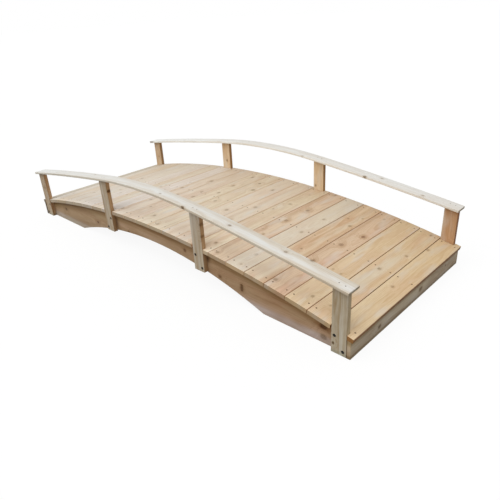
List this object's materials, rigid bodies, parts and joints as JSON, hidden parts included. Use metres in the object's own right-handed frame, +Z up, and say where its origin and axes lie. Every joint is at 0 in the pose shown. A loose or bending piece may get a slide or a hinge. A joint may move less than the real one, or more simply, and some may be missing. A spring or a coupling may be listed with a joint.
{
  "type": "arched garden footbridge",
  "caption": "Low arched wooden garden footbridge: cross planks on arched beams with flat feet, short posts outside the deck and thin handrails bent over them.",
  "frame": {"origin": "on the ground under the middle of the bridge", "axes": "+X along the bridge, +Y across it away from the picture's viewer, +Z up"},
  "size_m": [3.0988, 1.265, 0.5453],
  "materials": {
    "deck_cedar": "planed, unfinished",
    "beam_cedar": "planed, unfinished",
    "end_board_cedar": "planed, unfinished",
    "post_cedar": "planed, unfinished",
    "rail_cedar": "planed, unfinished"
  },
  "bodies": {
    "root": {"plank_01": "deck_cedar", "plank_02": "deck_cedar", "plank_03": "deck_cedar", "plank_04": "deck_cedar", "plank_05": "deck_cedar", "plank_06": "deck_cedar", "plank_07": "deck_cedar", "plank_08": "deck_cedar", "plank_09": "deck_cedar", "plank_10": "deck_cedar", "plank_11": "deck_cedar", "plank_12": "deck_cedar", "plank_13": "deck_cedar", "plank_14": "deck_cedar", "plank_15": "deck_cedar", "plank_16": "deck_cedar", "plank_17": "deck_cedar", "plank_18": "deck_cedar", "plank_19": "deck_cedar", "plank_20": "deck_cedar", "plank_21": "deck_cedar", "plank_22": "deck_cedar", "near_beam": "beam_cedar", "middle_beam": "beam_cedar", "far_beam": "beam_cedar", "left_end_board": "end_board_cedar", "right_end_board": "end_board_cedar", "near_post_1": "post_cedar", "near_post_2": "post_cedar", "near_post_3": "post_cedar", "near_post_4": "post_cedar", "far_post_1": "post_cedar", "far_post_2": "post_cedar", "far_post_3": "post_cedar", "far_post_4": "post_cedar", "near_handrail": "rail_cedar", "far_handrail": "rail_cedar"}
  },
  "joints": []
}
